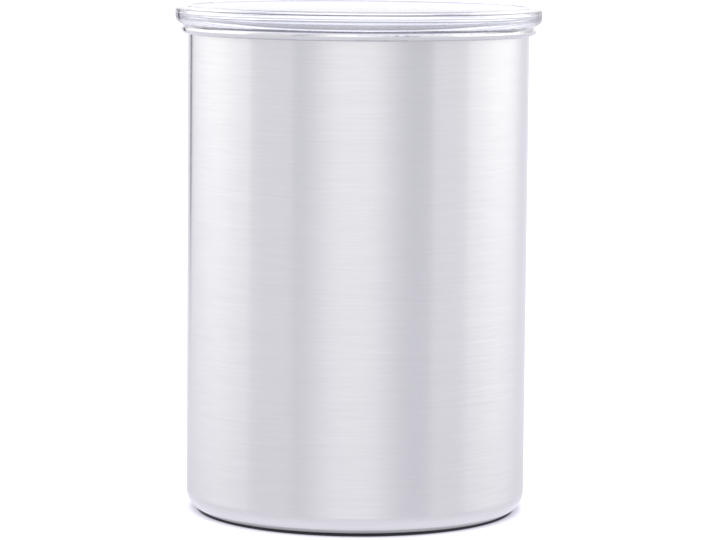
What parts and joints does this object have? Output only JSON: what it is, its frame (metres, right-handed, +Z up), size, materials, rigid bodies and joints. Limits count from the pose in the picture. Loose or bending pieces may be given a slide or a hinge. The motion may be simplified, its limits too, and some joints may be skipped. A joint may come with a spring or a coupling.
{
  "type": "coffee canister with valve",
  "caption": "Straight brushed-steel coffee canister with a rolled rim, a clear press-on lid, and inside it a gasketed plunger whose folding handle opens a spring vent valve.",
  "frame": {"origin": "middle of the underside, on the surface that the canister stands on", "axes": "+Z up along the can's axis; the handle turns about X and folds towards -Y"},
  "size_m": [0.1296, 0.1296, 0.179],
  "materials": {
    "drawn_steel": "stainless steel, brushed round the can",
    "clear_plastic": "clear moulded plastic, polished",
    "dark_plastic": "charcoal moulded plastic, fine matt texture",
    "black_silicone": "soft silicone, matt",
    "pale_plastic": "natural acetal, satin",
    "small_steel": "stainless steel, drawn wire and turned pins"
  },
  "bodies": {
    "can": {"can_body": "drawn_steel"},
    "lid": {"outer_lid": "clear_plastic"},
    "plunger": {"plunger_disc": "dark_plastic", "plunger_gasket": "black_silicone", "valve_housing": "pale_plastic", "housing_washer": "black_silicone", "housing_nut": "pale_plastic", "valve_spring": "small_steel"},
    "handle": {"bail_handle": "dark_plastic", "cam_shaft": "pale_plastic", "pivot_pin_left": "small_steel", "pivot_pin_right": "small_steel"},
    "valve": {"valve_stem": "small_steel", "valve_seal": "black_silicone", "valve_button": "pale_plastic", "stem_clip": "small_steel"}
  },
  "joints": [
    {"name": "lid_lift", "type": "slide", "parent": "can", "child": "lid", "axis": [0, 0, 1], "range_m": [0, 0.2]},
    {"name": "plunger_slide", "type": "slide", "parent": "can", "child": "plunger", "axis": [0, 0, 1], "range_m": [-0.112, 0]},
    {"name": "handle_fold", "type": "hinge", "parent": "plunger", "child": "handle", "pos_m": [0, 0, 0.1391], "axis": [-1, 0, 0], "range_deg": [0, 90]},
    {"name": "valve_open", "type": "slide", "parent": "plunger", "child": "valve", "axis": [0, 0, -1], "range_m": [0, 0.0025], "deforming": ["valve_spring"]}
  ],
  "couplings": [
    {"joint": "valve_open", "follows": "handle_fold", "m_per_rad": 0.00159}
  ]
}
